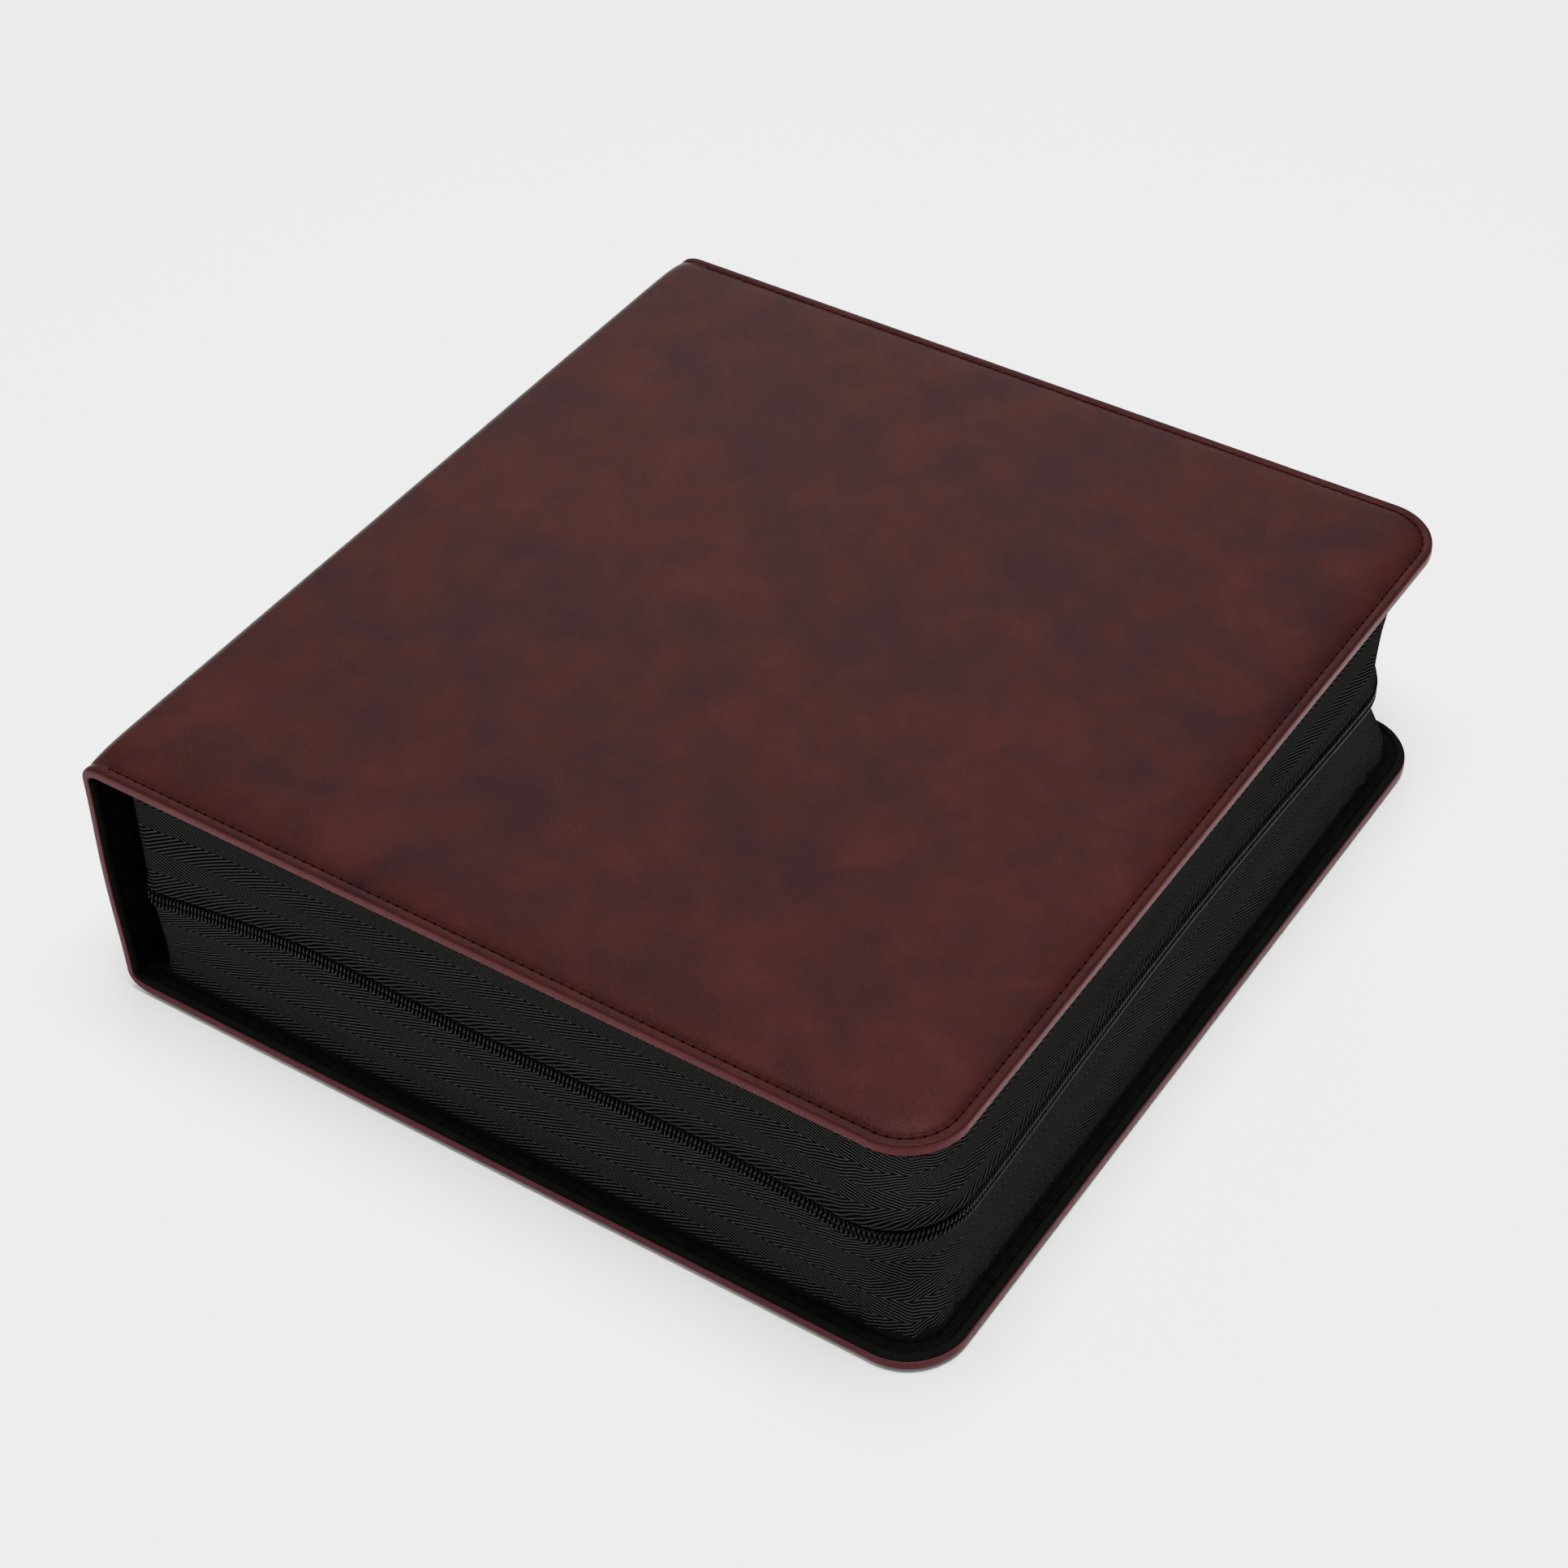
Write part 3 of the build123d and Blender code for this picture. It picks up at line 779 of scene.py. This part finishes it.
for cover_side in SIDES:
    body, up = BODY_OF[cover_side], UP[cover_side]
    roll = sweep_profile(
        f"{cover_side}_edge_roll", cover_outline(ROLL_RIB / 4), arch(0.45, 3.75, 1.85),
        INNER_Z[cover_side], up, BINDING, rib=ROLL_RIB, slant=0.35, amount=ROLL_SWELL,
    )
    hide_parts(f"{cover_side}_edge_binding")
    strip = sweep_profile(
        f"{cover_side}_seam_tape", cover_outline(1.3 * MM), arch(3.4, 8.2, 1.05, 7, 0.35),
        INNER_Z[cover_side], up, TAPE,
    )
    foot_profile = np.array([(7.3, 0.0), (7.35, 0.7), (7.7, 1.5), (8.4, 2.3), (9.2, 2.9),
                             (10.2, 3.3), (10.9, 3.2), (11.0, 0.0)]) * MM
    foot = sweep_profile(
        f"{cover_side}_seam_piping", cover_outline(FOOT_RIB / 4), foot_profile,
        LINING_Z[cover_side], up, BINDING, rib=FOOT_RIB, slant=0.9, amount=0.09,
    )
    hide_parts(f"{cover_side}_seam_binding")
    for obj in (roll, strip, foot):
        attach(obj, body)


def end_rolls(name, stations):
    """The ribbed edge strip carried round the spine at both ends of the case, in one mesh."""
    table = np.array(stations)
    lengths = table[:, 6]
    profile = arch(0.45, 3.75, 1.6)
    m = len(profile)
    after = (np.arange(m) + 1) % m
    verts, faces = [], []
    for end in (-1, 1):
        base = len(verts)
        rows = np.arange(lengths[0], lengths[-1], ROLL_RIB / 4)
        for length in rows:
            x, z, out_x, out_z, thick = (np.interp(length, lengths, table[:, k]) for k in range(5))
            size = math.hypot(out_x, out_z)
            out_x, out_z = out_x / size, out_z / size
            swell = 1 + ROLL_SWELL * math.cos(2 * math.pi * length / ROLL_RIB)
            for d, h in profile:
                inward = thick - LINING_OVERLAP + h * swell
                verts.append((x - out_x * inward, end * (HALF_LENGTH - d), z - out_z * inward))
        index = np.arange(len(rows) * m).reshape(len(rows), m) + base
        faces += np.stack([index[:-1], index[1:], index[1:][:, after], index[:-1][:, after]],
                          -1).reshape(-1, 4).tolist()
        faces += [index[0].tolist(), index[-1][::-1].tolist()]
    mesh = bpy.data.meshes.new(name)
    mesh.from_pydata(verts, [], faces)
    work = bmesh.new()
    work.from_mesh(mesh)
    smooth_outward(work)
    work.to_mesh(mesh)
    work.free()
    return finish_mesh(name, mesh, BINDING, 60)


def lining_strip(name, stations):
    """The lining on the inner face of the hinges and the spine."""
    points, uvs = [], []
    half = HALF_LENGTH - 3.7 * MM
    for x, z, out_x, out_z, thick, _, length in stations:
        outer, inner = thick - LINING_OVERLAP, thick + 0.7 * MM
        points.append([
            (x - out_x * depth, y, z - out_z * depth)
            for depth, y in ((outer, -half), (outer, half), (inner, half), (inner, -half))
        ])
        uvs.append([(length, y) for y in (-half, half, half, -half, -half)])
    return skin(name, np.array(points), np.array(uvs), LINING, wrap=True, caps=True)


spine_rolls = end_rolls("spine_end_rolls", spine_stations(40))
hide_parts("spine_edge_binding")
spine_inner = lining_strip("spine_inner_lining", spine_stations(24))
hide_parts("spine_lining")
for obj in (spine_rolls, spine_inner):
    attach(obj, "spine")

for hinge_side in SIDES:
    bend = hinge_stations(hinge_side, count=28)
    for obj, slot_name in ((end_rolls(f"{hinge_side}_hinge_end_rolls", bend), "binding"),
                           (lining_strip(f"{hinge_side}_hinge_lining", bend), "lining")):
        bend_with_hinge(obj, hinge_side)


# ------------------------------------------------------------------ gusset walls and zip
WALL = trace(wall_sides(), 2.0 * MM)
WALL_TOTAL = WALL[2][-1]
FOOT_CORNER = 14 * MM
COIL_PITCH = 1.65 * MM
COIL_WIRE = 0.36 * MM
COIL_STEPS = 12  # points to a turn
COIL_DEPTH = 0.75 * MM
COIL_REACH = 1.55 * MM  # half the coil's height
COIL_STAND_OFF = 0.55 * MM  # from the wall's face to the coil's middle
# The zip's height in mm along the near side (from the spine) and along the fore edge (from its
# middle): it sinks toward the spine and again round the fore corners.
ZIP_NEAR = ([6, 15, 31, 47, 69, 84, 98, 126, 154, 253, 277, 296, 318],
            [45.5, 46.5, 49.0, 51.5, 54.2, 55.4, 55.4, 54.8, 54.5, 56.0, 54.2, 50.9, 47.6])
ZIP_FAR = ([6, 60, 253, 277, 296, 318], [54.0, 54.6, 55.4, 54.2, 51.8, 49.5])
ZIP_FORE = ([0, 31, 70, 118, 150, 161], [55.6, 55.0, 53.2, 49.6, 47.9, 47.6])


def foot_points(path):
    """The same samples on an outline whose fore corners are tighter, where the wall is sewn down."""
    p, normal, _ = path
    out_p, out_n = p.copy(), normal.copy()
    leg = WALL_CORNER - FOOT_CORNER
    arc = FOOT_CORNER * math.pi / 2
    for way in (-1.0, 1.0):
        centre = np.array([WALL_FORE - WALL_CORNER, way * (WALL_HALF - WALL_CORNER)])
        ray = p - centre
        inside = (ray[:, 0] > 1e-9) & (ray[:, 1] * way > 1e-9)
        angle = np.arctan2(ray[inside, 1] * way, ray[inside, 0])  # 0 at the fore edge
        run = angle / (math.pi / 2) * (2 * leg + arc)
        turn = np.clip((run - leg) / FOOT_CORNER, 0, math.pi / 2)
        x = leg + FOOT_CORNER * np.cos(turn) - np.clip(run - leg - arc, 0, leg)
        y = np.clip(run, 0, leg) + FOOT_CORNER * np.sin(turn)
        out_p[inside] = centre + np.column_stack([x, way * y])
        out_n[inside] = np.column_stack([np.cos(turn), way * np.sin(turn)])
    return out_p, out_n


def sag(x, y):
    """How far the zip line sinks, and how far it bulges, at each point of the wall's outline."""
    along, across = (x - SPINE_X) / MM, np.abs(y) / MM
    side = np.where(y < 0, np.interp(along, *ZIP_NEAR), np.interp(along, *ZIP_FAR))
    fore = np.interp(across, *ZIP_FORE)
    height = np.where(x > WALL_FORE - 10 * MM, fore, side)
    near = smooth01((-y - 100 * MM) / (50 * MM))
    from_end = np.maximum(0.0, x - SPINE_X - 10 * MM)
    bulge = 1.6 * MM * np.exp(-from_end / (24 * MM)) * near
    drop = ZIP_Z - height * MM
    kernel = np.hanning(15) / np.hanning(15).sum()
    return np.convolve(np.pad(drop, 7, mode="edge"), kernel, "valid"), bulge


def corner_window(x, y):
    """1 at the middle of a fore corner, falling to 0 about its ends."""
    inset = 10 * MM
    d = np.hypot(x - WALL_FORE + inset, np.abs(y) - WALL_HALF + inset)
    return np.exp(-((d / (30 * MM)) ** 2))


def wall_grid(path, heights, inset, foot_z, edge_z):
    """Points on the wall's cloth at the given shares of its height (0 foot, 1 zip edge)."""
    p, normal, s = path
    foot_p, foot_n = foot_points(path)
    drop, bulge = sag(p[:, 0], p[:, 1])
    ripple = np.sin(2 * math.pi * s / (11 * MM) + 0.6)
    ripple += 0.6 * np.sin(2 * math.pi * s / (6.7 * MM) + 2.0)
    pucker = 0.50 * MM * ripple * corner_window(p[:, 0], p[:, 1])
    seed = 7.7 if foot_z < edge_z else 3.1
    columns = []
    tall = abs(edge_z - foot_z)
    for share, extra in zip(heights, inset):
        flare = 1.6 * MM * math.exp(-share * tall / (7 * MM))
        slow = np.array([noise.noise(Vector((v / (45 * MM), share * 1.3, seed))) for v in s])
        slack = 0.7 * MM * slow * math.sin(math.pi * min(1.0, share)) ** 0.6
        out = flare + bulge * smooth01(share) + pucker * (1 - 0.6 * share) + slack
        z = foot_z + (edge_z - foot_z) * share - drop * smooth01(share)
        rise = float(smooth01(share * 1.15))
        facing = foot_n * (1 - rise) + normal * rise
        facing /= np.hypot(*facing.T)[:, None]
        xy = foot_p * (1 - rise) + p * rise + facing * np.reshape(out - extra, (-1, 1))
        columns.append(np.column_stack([xy, np.broadcast_to(z, len(p))]))
    return np.stack(columns, 1)


def gusset(side):
    """One cloth wall, closed, with its zip edge folded over into a lip."""
    foot_z, edge_z = LINING_Z[side], WALL_EDGE_Z[side]
    tall = abs(edge_z - foot_z)
    lip = 0.9 * MM if side == "front" else 0.35 * MM
    shares = list(np.linspace(0, 1 - 3.4 * MM / tall, 16))
    insets = [0.0] * len(shares)
    # Over the lip: mm back from the edge, and the inset, in lips outward and in mm inward.
    for back_from, inset in ((2.6, -0.35), (1.6, -0.95), (0.7, -1.0), (0.1, -0.8), (-0.25, 0.0),
                             (0.0, 0.9), (0.5, 1.2)):
        shares.append(1 - back_from * MM / tall)
        insets.append(inset * lip if inset < 0 else inset * MM)
    for share in np.linspace(1 - 3 * MM / tall, 0, 8):
        shares.append(share)
        insets.append(WALL_THICKNESS)
    points = wall_grid(WALL, shares, insets, foot_z, edge_z)
    heights = np.abs((1 - np.array(shares)) * tall)
    # v starts at a band's edge at the zip; the bands next to it on both walls slant one way.
    v = 100 * BAND_WIDTH + heights if side == "front" else 99 * BAND_WIDTH - heights
    uv = np.stack(np.meshgrid(WALL[2], np.append(v, v[0]), indexing="ij"), -1)
    obj = skin(
        f"{HALF_OF[side]}_gusset_wall", points, uv, HERRINGBONE, wrap=True, caps=True, sharp=70
    )
    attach(obj, BODY_OF[side])
    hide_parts(f"{HALF_OF[side]}_gusset")


def zipper_coil(side):
    """One row of teeth: a wire coil along the wall's zip edge."""
    toward = UP[side] * -1
    steps = np.arange(int(WALL_TOTAL / COIL_PITCH) * COIL_STEPS + 1)
    turns = steps / COIL_STEPS
    angle = 2 * math.pi * turns + (0.0 if side == "back" else math.pi)
    s = np.clip(turns * COIL_PITCH, 0, WALL_TOTAL)
    p = np.column_stack([np.interp(s, WALL[2], WALL[0][:, k]) for k in (0, 1)])
    normal = np.column_stack([np.interp(s, WALL[2], WALL[1][:, k]) for k in (0, 1)])
    normal /= np.hypot(*normal.T)[:, None]
    drop, bulge = sag(p[:, 0], p[:, 1])
    centre_z = ZIP_Z - toward * 1.62 * MM
    out = bulge + COIL_STAND_OFF + COIL_DEPTH * np.cos(angle)
    z = centre_z + COIL_REACH * np.sin(angle) - drop
    line = np.column_stack([p + normal * out[:, None], z])
    return tube_mesh(f"{HALF_OF[side]}_zipper_coil", [line], COIL_WIRE, 6, COIL)


def zipper_band(side):
    """The tape that carries one row of teeth, stepped where it passes behind the wall."""
    toward = UP[side] * -1
    p, normal, s = WALL
    drop, bulge = sag(p[:, 0], p[:, 1])
    edge = ZIP_Z - toward * 0.35 * MM
    columns = []
    for back_from, depth in ((0.0, 0.75), (4.0, 0.75), (4.6, 1.25), (12.0, 1.25), (12.0, 1.8),
                             (4.6, 1.8), (0.0, 1.35)):
        z = edge - toward * back_from * MM - drop
        columns.append(np.column_stack([p + normal * (bulge - depth * MM)[:, None], z]))
    uv = np.stack(np.meshgrid(s, np.linspace(0, 20 * MM, 8), indexing="ij"), -1)
    return skin(
        f"{HALF_OF[side]}_zipper_band", np.stack(columns, 1), uv, TAPE, wrap=True, caps=True
    )


def zipper_half(side):
    """One row of teeth and its tape, riding on their cover."""
    half = HALF_OF[side]
    coil = zipper_coil(side)
    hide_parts(f"{half}_zipper_teeth")
    tape = zipper_band(side)
    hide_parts(f"{half}_zipper_tape")
    for obj in (coil, tape):
        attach(obj, BODY_OF[side])


for cover_side in SIDES:
    gusset(cover_side)
    zipper_half(cover_side)

# ------------------------------------------------------------------ CAD pieces kept as they are
KEPT = {
    "back_foam": FOAM, "front_foam": FOAM, "back_board": BOARD, "front_board": BOARD,
    "back_lining": LINING, "front_lining": LINING,
    "leaf_mount_panel": CORE, "leaf_mount_tabs": CORE,
    "zipper_slider": SLIDER, "zipper_pull": PULL,
}
LEAVES = 14
for number in range(1, LEAVES + 1):
    KEPT[f"leaf_{number:02d}_core"] = CORE
    KEPT[f"leaf_{number:02d}_pockets"] = FILM
for node, material in KEPT.items():
    obj = bpy.data.objects[node]
    obj.data.materials.clear()
    obj.data.materials.append(material)
for node in ("zipper_slider", "zipper_pull"):
    bevel = bpy.data.objects[node].modifiers.new("soft_edges", "BEVEL")
    bevel.width = 0.35 * MM
    bevel.segments = 3
    bevel.limit_method = "ANGLE"
    bpy.data.objects[node].data.shade_smooth()

# ------------------------------------------------------------------ floor, light and camera
scene = bpy.context.scene
world = bpy.data.worlds.new("studio")
scene.world = world
world.use_nodes = True
world.node_tree.nodes["Background"].inputs["Color"].default_value = (1.0, 1.0, 0.995, 1.0)
world.node_tree.nodes["Background"].inputs["Strength"].default_value = 0.13

floor_mesh = bpy.data.meshes.new("studio_floor")
FLOOR_HALF, FLOOR_Z = 6.0, -0.2 * MM
floor_mesh.from_pydata(
    [(x * FLOOR_HALF, y * FLOOR_HALF, FLOOR_Z) for x, y in ((-1, -1), (1, -1), (1, 1), (-1, 1))],
    [], [[0, 1, 2, 3]],
)
floor = bpy.data.objects.new("studio_floor", floor_mesh)
scene.collection.objects.link(floor)
floor_nodes = Nodes("studio_paper")
floor_nodes.surface(Base_Color=(0.64, 0.64, 0.632), Roughness=0.9)
floor_mesh.materials.append(floor_nodes.material)


def area_light(name, place, target, size_x, size_y, power):
    """A white rectangular light that looks at a target."""
    data = bpy.data.lights.new(name, "AREA")
    data.shape = "RECTANGLE"
    data.size, data.size_y = size_x, size_y
    data.energy = power
    obj = bpy.data.objects.new(name, data)
    obj.location = place
    obj.rotation_euler = (Vector(target) - Vector(place)).to_track_quat("-Z", "Y").to_euler()
    scene.collection.objects.link(obj)


area_light("overhead_softbox", (0.2, -0.05, 2.3), (0.0, 0.0, 0.0), 1.1, 1.0, 400)
area_light("back_softbox", (-1.45, 2.05, 1.6), (0.0, 0.0, 0.1), 2.0, 1.2, 80)
area_light("left_softbox", (-2.4, -0.6, 1.5), (0.0, 0.0, 0.05), 1.6, 1.4, 45)
area_light("near_fill", (0.9, -2.4, 1.3), (0.0, 0.0, 0.05), 1.8, 1.4, 30)

data = bpy.data.cameras.new("photo_camera")
data.sensor_width, data.lens = 36.0, 76.294
data.clip_start, data.clip_end = 0.05, 20.0
camera = bpy.data.objects.new("photo_camera", data)
azimuth, elevation, roll = (math.radians(a) for a in (35.163, 42.760, -2.367))
LENGTH = 0.361  # the case's length, in which the camera's distances are given
back = Vector((
    math.sin(azimuth) * math.cos(elevation), -math.cos(azimuth) * math.cos(elevation),
    math.sin(elevation),
))
level = (-back).cross(Vector((0, 0, 1))).normalized()
upright = level.cross(-back)
right = level * math.cos(roll) + upright * math.sin(roll)
up_axis = upright * math.cos(roll) - level * math.sin(roll)
place = (
    Vector((-0.0010, 0.0, 0.04995)) + back * 3.3487 * LENGTH
    + right * -0.0086 * LENGTH + up_axis * -0.0178 * LENGTH
)
facing = Matrix((right, up_axis, back)).transposed().to_4x4()
camera.matrix_world = Matrix.Translation(place) @ facing
scene.collection.objects.link(camera)
scene.camera = camera
